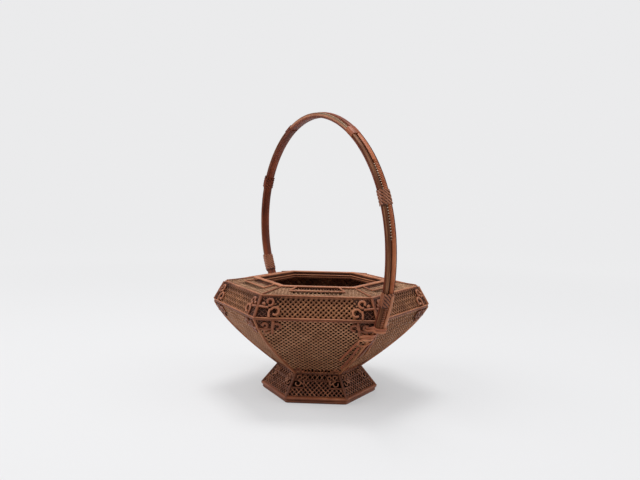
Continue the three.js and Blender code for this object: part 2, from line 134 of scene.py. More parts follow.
def caneFinish(name, look):
    material = bpy.data.materials.new(name)
    material.use_nodes = True
    tree = material.node_tree
    colours = {part: paint(*tone) for part, tone in zip(("Base", "Dark", "Light"), look["tones"])}
    shares = {part.title(): look[part] for part in ("streak", "variation", "fineness")}
    grain = addNode(tree, "Group", {**colours, **shares}, node_tree=grainGroup).outputs
    bump = addNode(tree, "Bump", {
        "Strength": look["bump"], "Distance": grainDepth * mm, "Height": grain["Height"]})
    feed(tree, tree.nodes["Principled BSDF"], {
        "Base Color": grain["Color"], "Roughness": grain["Roughness"], "Normal": bump.outputs["Normal"],
        "Specular IOR Level": look["specular"], "Coat Weight": look["coat"], "Coat Roughness": 0.3})
    return material


# Each finish names its slot, its base, dark and light tones and what sets it apart from plain cane
plainCane = {"streak": 0.3, "variation": 0.8, "fineness": 1.0, "bump": 0.2, "specular": 0.2, "coat": 0.0}
grainDepth = 0.2
finishes = {
    "redLath": {
        "slot": "red_lath", "tones": ((128, 70, 42), (62, 28, 15), (190, 124, 86)),
        "bump": 0.3, "specular": 0.3, "coat": 0.1},
    "darkLath": {
        "slot": "dark_lath", "tones": ((98, 53, 33), (42, 21, 13), (156, 98, 68)),
        "bump": 0.3, "specular": 0.25, "coat": 0.05},
    "bodyWeave": {
        "slot": "body_weave", "tones": ((152, 103, 72), (92, 56, 38), (198, 146, 112)),
        "streak": 0.25, "variation": 0.18, "fineness": 1.2, "bump": 0.25},
    "bandWeave": {
        "slot": "body_weave", "tones": ((118, 73, 46), (76, 42, 23), (176, 120, 82)),
        "streak": 0.25, "variation": 0.2, "fineness": 1.2, "bump": 0.25},
    "deckStraw": {
        "slot": "deck_straw", "tones": ((138, 99, 72), (84, 54, 37), (186, 144, 112)),
        "streak": 0.25, "variation": 0.35, "fineness": 1.2, "bump": 0.25},
    "handleBrown": {
        "slot": "handle_brown", "tones": ((104, 46, 24), (56, 22, 11), (148, 74, 44)),
        "streak": 0.7, "variation": 0.5, "fineness": 0.22, "specular": 0.15, "coat": 0.05},
    "handleGrey": {
        "slot": "handle_amber", "tones": ((102, 59, 36), (56, 29, 17), (160, 114, 84)),
        "streak": 0.8, "variation": 0.5, "fineness": 0.25, "bump": 0.25, "specular": 0.1},
    "handleAmber": {
        "slot": "handle_amber", "tones": ((150, 77, 42), (90, 40, 20), (204, 132, 90)),
        "streak": 0.5, "variation": 0.5, "fineness": 0.3, "bump": 0.25, "coat": 0.05},
    "inlayGrey": {"slot": "inlay_grey", "tones": ((44, 30, 22), (22, 13, 10), (90, 70, 54))},
    "paleCane": {"slot": "inlay_grey", "tones": ((160, 130, 102), (96, 70, 50), (232, 214, 190))},
    "bindingCane": {
        "slot": "binding_cane", "tones": ((148, 78, 45), (88, 40, 20), (204, 138, 98)),
        "bump": 0.25, "specular": 0.35, "coat": 0.1},
    # painted shade: the near-black sheet behind the weave
    "shadeSheet": {
        "slot": "dark_lath", "tones": ((20, 10, 7), (11, 5, 4), (30, 16, 11)),
        "variation": 0.5, "specular": 0.0},
    # painted shade: the dark sheet behind the scrolls
    "shadePanel": {
        "slot": "dark_lath", "tones": ((46, 25, 17), (30, 15, 10), (70, 42, 30)),
        "streak": 0.4, "variation": 0.3, "specular": 0.05},
    "innerWeave": {
        "slot": "body_weave", "tones": ((124, 88, 68), (74, 47, 35), (160, 122, 98)),
        "variation": 0.6, "specular": 0.1},
}
materials = {name: caneFinish(name, {**plainCane, **look}) for name, look in finishes.items()}
print("finishes made:", len(materials))


# A mesh with a fibre map and a tone for each strip
def startMesh():
    bm = bmesh.new()
    bm.loops.layers.uv.new("lay")
    bm.verts.layers.float.new("tint")
    return bm


def finishPiece(bm, name, finish, replaced=(), thickness=0, closed=True):
    if closed:
        bmesh.ops.recalc_face_normals(bm, faces=bm.faces)
    bmesh.ops.scale(bm, vec=(mm, mm, mm), verts=bm.verts)
    mesh = bpy.data.meshes.new(name)
    bm.to_mesh(mesh)
    bm.free()
    mesh.shade_smooth()
    mesh.set_sharp_from_angle(angle=sharpAngle)
    mesh.materials.append(materials[finish])
    piece = bpy.data.objects.new(name, mesh)
    bpy.context.collection.objects.link(piece)
    if thickness:
        solid = piece.modifiers.new("thickness", "SOLIDIFY")
        solid.thickness = thickness * mm
        solid.offset = -1
    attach(piece, "root")
    if replaced:
        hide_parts(*replaced)


# A grid whose points are moved to their place, with the fibre map along its first direction
def layGrid(bm, along, around, place, length, girth, tint):
    made = bmesh.ops.create_grid(bm, x_segments=along, y_segments=around, size=1, calc_uvs=True)["verts"]
    lay = bm.loops.layers.uv["lay"]
    tone = bm.verts.layers.float["tint"]
    shift = chance.uniform(0, mapShift)
    for vert in made:
        for loop in vert.link_loops:
            loop[lay].uv = (loop[lay].uv.x * length + shift, loop[lay].uv.y * girth)
        vert.co = place(round((vert.co.x + 1) / 2 * along), round((vert.co.y + 1) / 2 * around))
        vert[tone] = tint
    return made


# A strip or rod: one section carried along frames of (point, sideways, outwards)
def sweepStrip(bm, frames, section, tint):
    count = len(section)

    def place(i, k):
        point, sideways, outwards = frames[i]
        x, y = section[k % count]
        return point + x * sideways + y * outwards

    length = sum((b[0] - a[0]).length for a, b in zip(frames, frames[1:]))
    girth = sum((Vector(b) - Vector(a)).length for a, b in zip(section, section[1:] + section[:1]))
    made = layGrid(bm, len(frames) - 1, count, place, length, girth, tint)
    bmesh.ops.remove_doubles(bm, verts=made, dist=0.0001)
    rim = [edge for vert in made if vert.is_valid for edge in vert.link_edges if edge.is_boundary]
    bmesh.ops.holes_fill(bm, edges=list(dict.fromkeys(rim)))


def sweepPiece(name, finish, frames, section, tint, replaced=()):
    bm = startMesh()
    sweepStrip(bm, frames, section, tint)
    finishPiece(bm, name, finish, replaced)


def lathSection(width, height, chamfer, x=0.0, y=0.0):
    w, h = width / 2, height / 2
    right = [(w - chamfer, -h), (w, chamfer - h), (w, h - chamfer), (w - chamfer, h)]
    left = [(chamfer - w, h), (-w, h - chamfer), (-w, chamfer - h), (chamfer - w, -h)]
    return [(x + u, y + v) for u, v in right + left]


def roundSection(width, height, sides, x=0.0, y=0.0):
    turns = [2 * math.pi * i / sides for i in range(sides)]
    return [(x + width / 2 * math.cos(turn), y + height / 2 * math.sin(turn)) for turn in turns]


# Frames along points that lie on a surface with the given outward directions
def strapFrames(points, outs):
    frames = []
    for i, point in enumerate(points):
        ahead = points[min(i + 1, len(points) - 1)] - points[max(i - 1, 0)]
        sideways = ahead.cross(outs[i]).normalized()
        frames.append((point, sideways, sideways.cross(ahead).normalized()))
    return frames


def boxOf(node):
    return [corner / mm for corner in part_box(node)]


def ringOf(node):
    low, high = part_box(node)
    height = high.z - low.z
    return Vector((high.x - height / 2, 0, (low.z + high.z) / 2)) / mm


# The rings that the pieces hang between: corner radius in x, height in z
baseLow, baseHigh = boxOf("base_rail_lower")
footLow, footHigh = boxOf("foot_frame")
mouthLow, mouthHigh = boxOf("mouth_rail")
baseRailHeight = baseHigh.z - baseLow.z
footInset = 2.9  # from the base rail's corner to the ribs' line
foot = Vector((footHigh.x - footInset, 0, footLow.z + baseRailHeight))
neck = ringOf("neck_rail")
waist = ringOf("waist_rail")
shoulder = ringOf("shoulder_rail")
mouthLift = 0.7  # how far the mouth rail's middle stands above the deck's line
mouth = Vector((mouthHigh.x, 0, (mouthLow.z + mouthHigh.z) / 2 - mouthLift))


# A line measured by the distance along it
class Track:
    def __init__(self, points):
        self.points = points
        self.marks = [0.0]
        for one, two in zip(points, points[1:]):
            self.marks.append(self.marks[-1] + (two - one).length)
        self.length = self.marks[-1]

    def at(self, distance):
        points, last = self.points, len(self.points) - 1
        i = min(max(bisect.bisect_right(self.marks, distance) - 1, 0), last - 1)
        share = (distance - self.marks[i]) / (self.marks[i + 1] - self.marks[i])
        here = (points[i + 1] - points[max(i - 1, 0)]).normalized()
        there = (points[min(i + 2, last)] - points[i]).normalized()
        return points[i] + share * (points[i + 1] - points[i]), here.lerp(there, share).normalized()


# The lower body bows out of a straight line between neck and waist
body = {"swell": 6.2, "swellPlace": 0.7, "steps": 32}


def bodyCurve():
    chord = waist - neck
    out = Vector((chord.z, 0, -chord.x)).normalized()
    pull = neck.lerp(waist, body["swellPlace"]) + 2 * body["swell"] * out
    points = interpolate_bezier(neck, neck.lerp(pull, 2 / 3), waist.lerp(pull, 2 / 3), waist, body["steps"])
    return Track(points)


footLine = Track([foot, neck])
bodyLine = bodyCurve()
bandLine = Track([waist, shoulder])
deckLine = Track([shoulder, mouth])


# A working surface on such a line: x runs along the side, y up the slope, z outwards
class Slope:
    def __init__(self, line, share, turn):
        self.line, self.share = line, share
        self.length = Track([Vector((share * point.x, 0, point.z)) for point in line.points]).length
        self.spin = Matrix.Rotation(turn, 3, "Z")

    def spot(self, height):
        point, ahead = self.line.at(height / self.length * self.line.length)
        return point, Vector((self.share * ahead.x, 0, ahead.z)).normalized()

    def halfAt(self, height):
        return self.spot(height)[0].x / 2

    def spreadAt(self, height):
        return self.spot(height)[1].x / self.share / 2

    def outAt(self, height):
        rise = self.spot(height)[1]
        return self.spin @ Vector((rise.z, 0, -rise.x))

    def at(self, x, y, z=0.0):
        point, rise = self.spot(y)
        return self.spin @ Vector((self.share * point.x + z * rise.z, x, point.z - z * rise.x))


def sideOf(line, side):
    return Slope(line, faceShare, (side + 0.5) * sixth)


def sidesOf(line):
    return [sideOf(line, side) for side in range(6)]


def cornerOf(line, corner):
    return Slope(line, 1, corner * sixth)


# Frames for a strip that stands on edge along a path of (x, y) points on a plane
def edgeFrames(plane, path, lift):
    points = [plane.at(x, y, lift) for x, y in path]
    return strapFrames(points, [plane.outAt(y) for x, y in path])


def cutMesh(bm, point, outwards, clear=True):
    everything = bm.verts[:] + bm.edges[:] + bm.faces[:]
    bmesh.ops.bisect_plane(bm, geom=everything, plane_co=point, plane_no=outwards, clear_outer=clear)


# Two sets of strips cross over and under each other at a slant, trimmed to the side's edges.
# Rows grow from the top to the bottom. Strips carry a painted highlight where they cross over and painted
# shade
#  where they pass under, and painted shade darkens them under a rail. Holes are left, right, bottom and top.
def weavePiece(name, finish, plane, look, low, high, inset, holes=(), replaced=()):
    bm = startMesh()
    across, bottom = look["cell"]
    strip, lift, level = look["strip"], look["lift"], look["level"]
    shrink = (bottom - look.get("topHeight", bottom)) / plane.length

    def rowAt(m):
        height = bottom * m / 2 if shrink == 0 else bottom / shrink * (1 - math.exp(-shrink * m / 2))
        return height, bottom - shrink * height

    rows = 0
    while rowAt(rows)[0] < plane.length + bottom / 2:
        rows += 1
    reach = math.ceil((max(plane.halfAt(0), plane.halfAt(plane.length)) + plane.length) / across)
    tone = bm.verts.layers.float["tint"]
    for hand in (1, -1):
        for k in range(-reach, reach + 1):
            inside = [
                m for m in range(rows + 1)
                if abs(k * across + hand * across / 2 * m) < plane.halfAt(rowAt(m)[0]) + across]
            if len(inside) < 2:
                continue
            first, last = inside[0], inside[-1]

            def place(i, j):
                m = first + i / 2
                height, rise = rowAt(m)
                off = (j - 1) * strip / 2 / math.hypot(across, rise)
                x = k * across + hand * across / 2 * m - off * rise
                wave = hand * lift * math.cos(math.pi * m)
                z = level + wave + look["crown"] * (1 - abs(j - 1))
                return Vector((x, height + off * hand * across, z))

            steps = 2 * (last - first)
            length = steps * math.hypot(across, bottom) / 4
            tint = look.get("tint", 0) + look.get("tones", 1) * chance.uniform(-1, 1)
            for vert in layGrid(bm, steps, 2, place, length, strip, tint):
                # painted highlight where a strip crosses over, painted shade where it passes under
                vert[tone] += look.get("reliefShading", 0) * (vert.co.z - level) / lift
    cutMesh(bm, (0, low, 0), (0, -1, 0))
    cutMesh(bm, (0, high, 0), (0, 1, 0))
    for share in (0, 0.2, 0.4, 0.6, 0.8, 1):
        height = share * plane.length
        edge, spread = plane.halfAt(height) - inset, plane.spreadAt(height)
        for end in (1, -1):
            cutMesh(bm, (end * edge, height, 0), (end, -spread, 0))
    for left, right, sill, lintel in holes:
        for x in (left, right):
            cutMesh(bm, (x, 0, 0), (1, 0, 0), clear=False)
        for y in (sill, lintel):
            cutMesh(bm, (0, y, 0), (0, 1, 0), clear=False)
        inside = [face for face in bm.faces if left < face.calc_center_median().x < right
                  and sill < face.calc_center_median().y < lintel]
        bmesh.ops.delete(bm, geom=inside, context="FACES")
    for vert in bm.verts:
        # painted shade: darker towards the top, under the rail
        if "railShadow" in look:
            vert[tone] -= look["railShadow"] * max(0, 1 - (high - vert.co.y) / look["railShadowWidth"])
        vert.co = plane.at(*vert.co)
    finishPiece(bm, name, finish, replaced, look["thickness"], closed=False)


# Woven sides, with the weave left out behind the scrolls and in the deck's slots.
# A cell of the weave is width and height.
# The lower weave's last side tint darkens its front-right side as painted shade.
lowerWeave = {
    "cell": (6.15, 8.0), "topHeight": 5.75, "strip": 1.6, "thickness": 0.5, "lift": 0.45, "crown": 0.2,
    "level": 0.35, "reliefShading": 2.0, "windowReach": 27, "windowDrop": 15, "reachDrop": 8, "fret": 10.5,
    "tints": (0, -0.1, 0.1, 0, 0, -0.4)}
# The band's weave is darkened near its top as painted shade under the shoulder rail.
bandWeave = {
    "cell": (6.2, 6.15), "strip": 2.15, "thickness": 0.5, "lift": 0.7, "crown": 0.3, "level": 0.35,
    "reliefShading": 2.0, "scrollReach": 18.5, "windowReach": 25, "windowRise": 15, "latticeGap": 3, "railShadow": 4,
    "railShadowWidth": 11}
footWeave = {
    "cell": (5.8, 6.4), "strip": 1.65, "thickness": 0.5, "lift": 0.5, "crown": 0.2, "level": -0.6,
    "tones": 0.5, "reliefShading": 0.8, "fret": 10.5, "windowReach": 14.5, "windowDrop": 10.2}
footOpenwork = {
    "cell": (6.4, 9.0), "strip": 1.6, "thickness": 0.3, "lift": 0.3, "crown": 0.15, "level": -0.6,
    "tones": 0.3, "tint": 0.2, "reliefShading": 0.6}
windowLattice = {
    "cell": (6.2, 5.6), "strip": 1.1, "thickness": 0.3, "lift": 0.2, "crown": 0.1, "level": 0.7,
    "tones": 0.5}
deckWeave = {
    "cell": (4.6, 5.4), "strip": 2.0, "thickness": 0.4, "lift": 0.35, "crown": 0.15, "level": 0.3,
    "reliefShading": 0.8, "mouthSlot": 6.5, "barSlot": 7.0}
deckFrame = {"width": 2.4, "height": 1.5, "seat": 1.1, "margin": 22, "place": 0.5, "splay": 6}
# Strips end this far from the lines of corners and rails
seam = {
    "rib": 0.7, "rail": 1.2, "lattice": 2, "footRib": 1.0, "base": 0.5, "neck": 0.3, "mitre": 0.4,
    "mouth": 0.5, "bar": 1}
far = 400  # past the edge of any side


# Openings at both ends of a side, from a distance outwards
def endHoles(start, low, high):
    return [(start, far, low, high), (-far, -start, low, high)]


for side in range(6):
    number = side + 1
    plane = sideOf(bodyLine, side)
    top, rail = plane.length - lowerWeave["windowDrop"], plane.length - seam["rail"]
    edge = plane.halfAt(plane.length - lowerWeave["reachDrop"]) - lowerWeave["windowReach"]
    look = dict(lowerWeave, tint=lowerWeave["tints"][side])
    weavePiece(f"lower_weave_{number}", "bodyWeave", plane, look, look["fret"], rail, seam["rib"],
               endHoles(edge, top, far), [f"lower_panel_{number}"])
    weavePiece(f"lower_lattice_{number}", "darkLath", plane, windowLattice, top, rail, seam["lattice"],
               [(-edge, edge, -far, far)])

    plane = sideOf(bandLine, side)
    top, rail = bandWeave["windowRise"], plane.length - seam["rail"]
    edge = plane.halfAt(0) - bandWeave["windowReach"]
    weavePiece(f"band_weave_{number}", "bandWeave", plane, bandWeave, seam["rail"], rail,
               bandWeave["scrollReach"], endHoles(edge, -far, top), [f"band_panel_{number}"])
    inner = edge + bandWeave["latticeGap"]
    weavePiece(f"band_lattice_{number}", "darkLath", plane, windowLattice, seam["rail"], rail,
               seam["lattice"], [(-inner, inner, -far, far)])

    plane = sideOf(footLine, side)
    middle = plane.length - footWeave["fret"]
    edge = plane.halfAt(middle) - footWeave["windowReach"]
    sill = middle - footWeave["windowDrop"]
    holes = endHoles(edge, sill, middle)
    weavePiece(f"foot_lattice_{number}", "darkLath", plane, footWeave, seam["base"], middle,
               seam["footRib"], holes, ["foot_weave"] if side == 0 else [])
    weavePiece(f"foot_openwork_{number}", "darkLath", plane, footOpenwork, middle,
               plane.length - seam["neck"], seam["footRib"], holes)

    plane = sideOf(deckLine, side)
    bar = plane.length * deckFrame["place"]
    half = plane.halfAt(bar) - deckFrame["margin"] - deckFrame["width"]
    slotHalf = half - deckFrame["splay"] / 2
    holes = [(-half, half, bar - deckWeave["barSlot"], bar - seam["bar"]),
             (-slotHalf, slotHalf, plane.length - deckWeave["mouthSlot"], far)]
    weavePiece(f"deck_plait_{number}", "deckStraw", plane, deckWeave, seam["rail"],
               plane.length - seam["mouth"], seam["mitre"], holes, ["deck_weave"] if side == 0 else [])
print("woven sides laid")


# A six-sided ring, turned from a profile of (radius, height) points and bent round at its corners
def spinRing(bm, profile, bend, tint, close=True):
    start = [bm.verts.new((r, 0, z)) for r, z in profile]
    pairs = list(zip(start, start[1:])) + ([(start[-1], start[0])] if close else [])
    edges = [bm.edges.new(pair) for pair in pairs]
    before = set(bm.faces)
    bmesh.ops.spin(bm, geom=start + edges, cent=(0, 0, 0), axis=(0, 0, 1), dvec=(0, 0, 0),
                   angle=2 * math.pi, steps=6, use_merge=True, use_duplicate=False)
    if bend:
        corners = [
            edge for edge in bm.edges if not before.issuperset(edge.link_faces)
            and abs(edge.verts[0].co.xy.normalized().dot(edge.verts[1].co.xy.normalized()) - 1) < 1e-6]
        bmesh.ops.bevel(bm, geom=corners, offset=bend, offset_type="OFFSET", affect="EDGES", segments=3,
                        profile=0.5, material=-1, clamp_overlap=True)
    faces = [face for face in bm.faces if face not in before]
    tone = bm.verts.layers.float["tint"]
    lay = bm.loops.layers.uv["lay"]
    shift = chance.uniform(0, mapShift)
    for face in faces:
        middle = face.calc_center_median()
        turn = (math.floor(math.atan2(middle.y, middle.x) / sixth) + 0.5) * sixth
        outwards = Vector((math.cos(turn), math.sin(turn), 0))
        along = Vector((-outwards.y, outwards.x, 0))
        for loop in face.loops:
            loop.vert[tone] = tint
            spot = loop.vert.co
            loop[lay].uv = (spot.dot(along) + ringShift * turn + shift, spot.z + spot.dot(outwards))


def ringPiece(name, finish, profile, bend, tint, replaced=()):
    bm = startMesh()
    spinRing(bm, profile, bend, tint)
    finishPiece(bm, name, finish, replaced)


# Rails: two split laths bent round the corners, with a lath between them painted dark as the shade in their
# groove
railBend = 2.2
railChamfer = 0.4
railLaths = (
    {"out": 0.1, "up": 1.15, "width": 3.5, "height": 1.3},
    {"out": -0.1, "up": 0.1, "width": 2.7, "height": 1.2},
    {"out": -0.05, "up": -0.95, "width": 3.4, "height": 1.7})
rails = {
    "neck": {"ring": neck, "tints": (1.0, -1, -0.6)},
    "waist": {"ring": waist, "tints": (0.6, -1, -0.25)},
    "shoulder": {"ring": shoulder - Vector((0, 0, 0.6)), "tints": (0.5, -1, 0.2)}}
for name, rail in rails.items():
    bm = startMesh()
    for lath, tint in zip(railLaths, rail["tints"]):
        radius, middle = rail["ring"].x + lath["out"], rail["ring"].z + lath["up"]
        section = lathSection(lath["width"], lath["height"], railChamfer, radius, middle)
        spinRing(bm, section, railBend, tint)
    finishPiece(bm, f"{name}_laths", "redLath", [f"{name}_rail"])

baseRail = {"width": 8, "chamfer": 1.5}
baseRails = {
    "lower": {"low": baseLow, "high": baseHigh, "tint": -0.45, "replaced": ["base_rail_lower"]},
    "upper": {"low": footLow, "high": footHigh, "tint": -0.05, "replaced": []}}
for name, rail in baseRails.items():
    radius, middle = rail["high"].x - baseRail["width"] / 2, rail["low"].z + baseRailHeight / 2
    section = lathSection(baseRail["width"], baseRailHeight, baseRail["chamfer"], radius, middle)
    ringPiece(f"base_lath_{name}", "redLath", section, railBend, rail["tint"], rail["replaced"])

# Mouth rail: a cap painted pale as the highlight on its top, over a lath painted darker as the shade under
# it
mouthRail = {
    "width": 7.5, "cap": 1.9, "capChamfer": 0.5, "capTint": 0.8, "body": 2.4, "bodyTint": -0.7,
    "recess": 1.4}
radius = mouth.x - mouthRail["width"] / 2
middle = mouthHigh.z - mouthRail["cap"] / 2
section = lathSection(mouthRail["width"], mouthRail["cap"], mouthRail["capChamfer"], radius, middle)
ringPiece("mouth_laths", "redLath", section, railBend, mouthRail["capTint"], ["mouth_rail"])
width = mouthRail["width"] - 2 * mouthRail["recess"]
middle = mouthHigh.z - mouthRail["cap"] - mouthRail["body"] / 2
section = lathSection(width, mouthRail["body"], railChamfer, radius, middle)
ringPiece("mouth_groove", "darkLath", section, railBend, mouthRail["bodyTint"])

# Collar inside the mouth: pale lips over dark bands that are stitched through
collarLow, collarHigh = boxOf("mouth_collar")
collar = {
    "thickness": 3.5, "lip": 1.4, "recess": 1.4, "bandChamfer": 0.3, "lipTints": (0.5, 0.2),
    "bandTint": -0.8, "pitch": 2.6, "reach": 0.9, "stitchTints": (0.2, 1.0),
    "stitch": [(-0.4, 0.0), (0.4, 0.0), (0.25, 0.5), (-0.25, 0.5)]}
lathHeight = (collarHigh.z - collarLow.z) / len(collar["lipTints"])
lips = startMesh()
bands = startMesh()
for i, tint in enumerate(collar["lipTints"]):
    top = collarHigh.z - i * lathHeight
    radius = collarHigh.x - collar["thickness"] / 2
    section = lathSection(collar["thickness"], collar["lip"], railChamfer, radius, top - collar["lip"] / 2)
    spinRing(lips, section, railBend, tint)
    width, height = collar["thickness"] - collar["recess"], lathHeight - collar["lip"]
    middle = top - collar["lip"] - height / 2
    section = lathSection(width, height, collar["bandChamfer"], collarHigh.x - width / 2, middle)
    spinRing(bands, section, railBend, collar["bandTint"])
    inner = (collarHigh.x - width) * faceShare
    count = math.floor(inner * math.tan(sixth / 2) / collar["pitch"]) - 1
    for side in range(6):
        spin = Matrix.Rotation((side + 0.5) * sixth, 3, "Z")
        inwards = spin @ Vector((-1, 0, 0))
        for k in range(-count, count + 1):
            ends = [
                spin @ Vector((inner, k * collar["pitch"], middle + up * collar["reach"] * height / 2))
                for up in (-1, 1)]
            frames = strapFrames(ends, [inwards] * 2)
            sweepStrip(bands, frames, collar["stitch"], chance.uniform(*collar["stitchTints"]))
finishPiece(lips, "mouth_collar_laths", "redLath", ["mouth_collar"])
finishPiece(bands, "mouth_collar_bands", "darkLath")
print("rails bent")

# Dark sheets behind the weave, painted as the shade inside the basket, and a brown one inside them
shadeSheet = {"inset": 1.5, "drop": (1.4, 1.6), "gap": 1.0, "thickness": 0.4, "steps": 8}
footShadeSheet = {"inset": 2.4, "below": 3, "above": 1}
inside = cornerOf(bodyLine, 0)
steps, inset = shadeSheet["steps"], shadeSheet["inset"]
spots = [inside.at(0, inside.length * i / steps, -inset) for i in range(steps + 1)]
spots += [ring - Vector((inset, 0, drop)) for ring, drop in zip((shoulder, mouth), shadeSheet["drop"])]
profile = [(spot.x, spot.z) for spot in spots]
sheets = {
    "body_shade_sheet": {"finish": "shadeSheet", "profile": profile},
    "inner_wall": {"finish": "innerWeave", "profile": [(r - shadeSheet["gap"], z) for r, z in profile]},
    "foot_shade_sheet": {"finish": "shadeSheet", "profile": [
        (foot.x - footShadeSheet["inset"], foot.z - footShadeSheet["below"]),
        (neck.x - footShadeSheet["inset"], neck.z + footShadeSheet["above"])]}}
for name, sheet in sheets.items():
    bm = startMesh()
    spinRing(bm, sheet["profile"], 0, 0, close=False)
    finishPiece(bm, name, sheet["finish"], thickness=shadeSheet["thickness"])

# The back of the weave, seen inside the basket
# Turned the other way here, the painted highlight falls on the strips' inner side and the painted shade on
# their outer side.
backWeave = {
    "cell": (9.0, 10.0), "strip": 4.6, "thickness": 0.4, "lift": 0.35, "crown": 0.1, "level": -3.5,
    "reliefShading": -0.8, "low": 3.0, "high": 1.5, "inset": 2.4}
for number, planes in enumerate(zip(sidesOf(bodyLine), sidesOf(bandLine)), 1):
    for part, plane in zip(("wall", "band"), planes):
        weavePiece(f"inner_{part}_{number}", "innerWeave", plane, backWeave, backWeave["low"],
                   plane.length - backWeave["high"], backWeave["inset"])
print("lining made")

# Corner laths: two split strips side by side along each corner
splitLath = {"chamfer": 0.45, "tints": (0.4, -0.1), "tones": 0.2}


def cornerLath(bm, line, corner, look, steps=1):
    ridge = cornerOf(line, corner)
    start, end = look["from"], ridge.length - look["to"]
    heights = [start + (end - start) * i / steps for i in range(steps + 1)]
    section = lathSection(look["width"], look["depth"], splitLath["chamfer"], 0, look["level"])
    for hand, tint in zip((-1, 1), splitLath["tints"]):
        frames = edgeFrames(ridge, [(hand * look["spread"], height) for height in heights], 0)
        tint += look.get("tint", 0) + chance.uniform(-splitLath["tones"], splitLath["tones"])
        sweepStrip(bm, frames, section, tint)


def curl(centre, radius, start, sweep, tighten, steps=16):
    points = []
    for i in range(steps + 1):
        share = i / steps
        turn = math.radians(start + sweep * share)
        reach = radius * (1 - tighten * share ** 2)
        points.append((centre[0] + reach * math.cos(turn), centre[1] + reach * math.sin(turn)))
    return points


# Scroll bracket on both sides of a corner, with a dark sheet of painted shade behind its ribbons
scroll = {"chamfer": 0.5, "tones": 0.3, "shadePanel": 0.3, "thickness": 0.4, "rows": 4}


def addScrolls(bm, shadePanel, line, corner, look):
    for side, end in ((corner - 1, 1), (corner, -1)):
        plane = sideOf(line, side)
        bar = look["rise"] if "rise" in look else plane.length - look["drop"]
        edge = plane.halfAt(bar)
        for ribbon in look["ribbons"]:
            path = ribbon["path"] if "path" in ribbon else curl(*ribbon["curl"])
            spots = [(end * (edge - x), bar + y) for x, y in path]
            section = lathSection(ribbon["width"], look["depth"], scroll["chamfer"])
            tint = look["tint"] + chance.uniform(-scroll["tones"], scroll["tones"])
            sweepStrip(bm, edgeFrames(plane, spots, look["lift"]), section, tint)
        if "window" not in look:
            continue

        def place(i, j):
            height = plane.length - look["window"] * (1 - i / scroll["rows"])
            inner = plane.halfAt(height) - look["reach"] * (1 - j if end > 0 else j)
            return plane.at(end * inner, height, scroll["shadePanel"])

        # the dark sheet across the window is painted shade
        layGrid(shadePanel, scroll["rows"], 1, place, look["window"], look["reach"], 0)


lowerRib = {"spread": 0.65, "width": 1.25, "depth": 3.8, "level": 0.2, "from": 0.8, "to": 1.2, "tint": 0.4}
bandPost = {"spread": 0.75, "width": 1.4, "depth": 3.6, "level": 1.1, "from": 1.2, "to": 1.2}
# Reach from the corner and height from the bar; a curl is centre, radius, start, sweep, tightening
bandScroll = {
    "depth": 2.2, "lift": 2.4, "tint": 0.25, "drop": 14.5, "window": 28, "reach": 24, "ribbons": [
        {"width": 2.5, "path": [(0.5, 0.4), (6, -0.2), (12.5, -1)]},
        {"width": 2.7, "curl": ((14.2, 5.6), 4.6, -115, 325, 0.4)},
        {"width": 2.4, "curl": ((6.9, 3.4), 1.0, -90, 330, 0.3)},
        {"width": 2.6, "curl": ((21.0, -6.0), 5.2, 160, -290, 0.25)},
        {"width": 2.7, "path": [(14.8, -3), (13.4, -8), (13.8, -13)]}]}
lowerScroll = {
    "depth": 2.0, "lift": 1.8, "tint": -0.2, "drop": 13.5, "window": 17, "reach": 28, "ribbons": [
        {"width": 2.8, "path": [(0.5, 0.2), (9, -0.4), (17.5, 0)]},
        {"width": 2.8, "curl": ((8.5, 5.4), 3.6, -100, 310, 0.4)},
        {"width": 3.2, "path": [(19.2, 12), (17.6, 3), (17.2, -8)]},
        {"width": 2.8, "curl": ((23.4, 4.2), 4.4, 200, -310, 0.2)},
        {"width": 2.6, "curl": ((10.5, -4.4), 3.2, 95, 280, 0.3)}]}
neckScroll = {
    "depth": 1.2, "lift": 1.4, "tint": 0, "rise": 10, "ribbons": [
        {"width": 1.8, "path": [(1.5, -0.5), (8, 0.4), (15, -1.5)]},
        {"width": 1.8, "curl": ((7.5, 3.6), 2.6, -90, 300, 0.35)}]}
for corner in range(6):
    number = corner + 1
    shadePanel = startMesh()
    bm = startMesh()
    cornerLath(bm, bodyLine, corner, lowerRib, 16)
    addScrolls(bm, shadePanel, bodyLine, corner, lowerScroll)
    addScrolls(bm, shadePanel, bodyLine, corner, neckScroll)
    finishPiece(bm, f"lower_corner_{number}", "redLath", [f"lower_rib_{number}"])
    bm = startMesh()
    cornerLath(bm, bandLine, corner, bandPost)
    addScrolls(bm, shadePanel, bandLine, corner, bandScroll)
    finishPiece(bm, f"band_corner_{number}", "redLath", [f"band_post_{number}"])
    finishPiece(shadePanel, f"scroll_shade_panel_{number}", "shadePanel", [], scroll["thickness"], closed=False)
print("corner laths and scrolls made")

footRib = {"spread": 0.75, "width": 1.4, "depth": 3.8, "level": -0.5, "from": -2, "to": 0.8}
bm = startMesh()
for corner in range(6):
    cornerLath(bm, footLine, corner, footRib)
finishPiece(bm, "foot_ribs", "darkLath", ["foot_frame"])


# A row of short upright strips across a side, from low to high
def addPosts(bm, plane, half, low, high, look):
    count = math.floor(half / look["pitch"])
    section = lathSection(look["width"], look["depth"], look["chamfer"])
    for i in range(-count, count + 1):
        x = i * look["pitch"]
        frames = edgeFrames(plane, [(x, low), (x, high)], look["level"])
        sweepStrip(bm, frames, section, chance.uniform(*look["tints"]))


# Short posts over dark slots, along the foot of each lower side
neckFret = {
    "width": 1.7, "depth": 1.0, "chamfer": 0.3, "pitch": 4.4, "level": 0.3, "margin": 2, "lap": 1,
    "tints": (-0.6, 0.4)}
bm = startMesh()
for plane in sidesOf(bodyLine):
    half, top = plane.halfAt(0) - neckFret["margin"], lowerWeave["fret"] + neckFret["lap"]
    addPosts(bm, plane, half, neckFret["lap"], top, neckFret)
finishPiece(bm, "neck_posts", "redLath")

